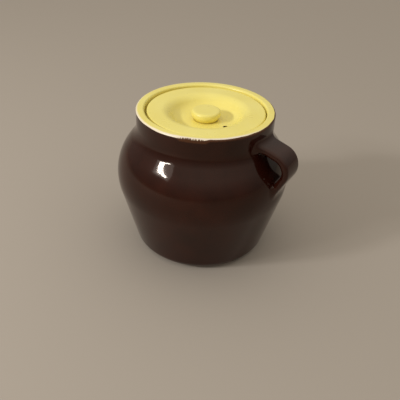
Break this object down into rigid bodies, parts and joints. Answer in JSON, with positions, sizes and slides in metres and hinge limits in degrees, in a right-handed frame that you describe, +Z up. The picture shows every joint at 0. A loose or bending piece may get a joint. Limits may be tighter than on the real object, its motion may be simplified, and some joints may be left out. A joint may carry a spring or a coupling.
{
  "type": "covered bean pot",
  "caption": "Round-bellied stoneware bean pot with a strap handle and a loose sunken lid that has a low button knob and a steam vent; holds food for baking and serving.",
  "frame": {"origin": "centre of the flat base, on the pot's axis", "axes": "+Z up along the pot's axis, +X towards the middle of the strap handle"},
  "size_m": [0.192, 0.18, 0.1519],
  "materials": {
    "bare_clay": "matte unglazed stoneware",
    "brown_glaze": "glossy dark red-brown glaze",
    "yellow_glaze": "satin soft yellow glaze"
  },
  "bodies": {
    "pot": {"pot_floor": "bare_clay", "pot_body": "bare_clay", "pot_neck": "bare_clay", "outer_glaze": "brown_glaze", "inner_glaze": "yellow_glaze", "handle": "brown_glaze"},
    "lid": {"lid": "yellow_glaze", "lid_knob": "yellow_glaze"}
  },
  "joints": [
    {"name": "lid_lift", "type": "slide", "parent": "pot", "child": "lid", "axis": [0, 0, 1], "range_m": [0, 0.1]}
  ]
}
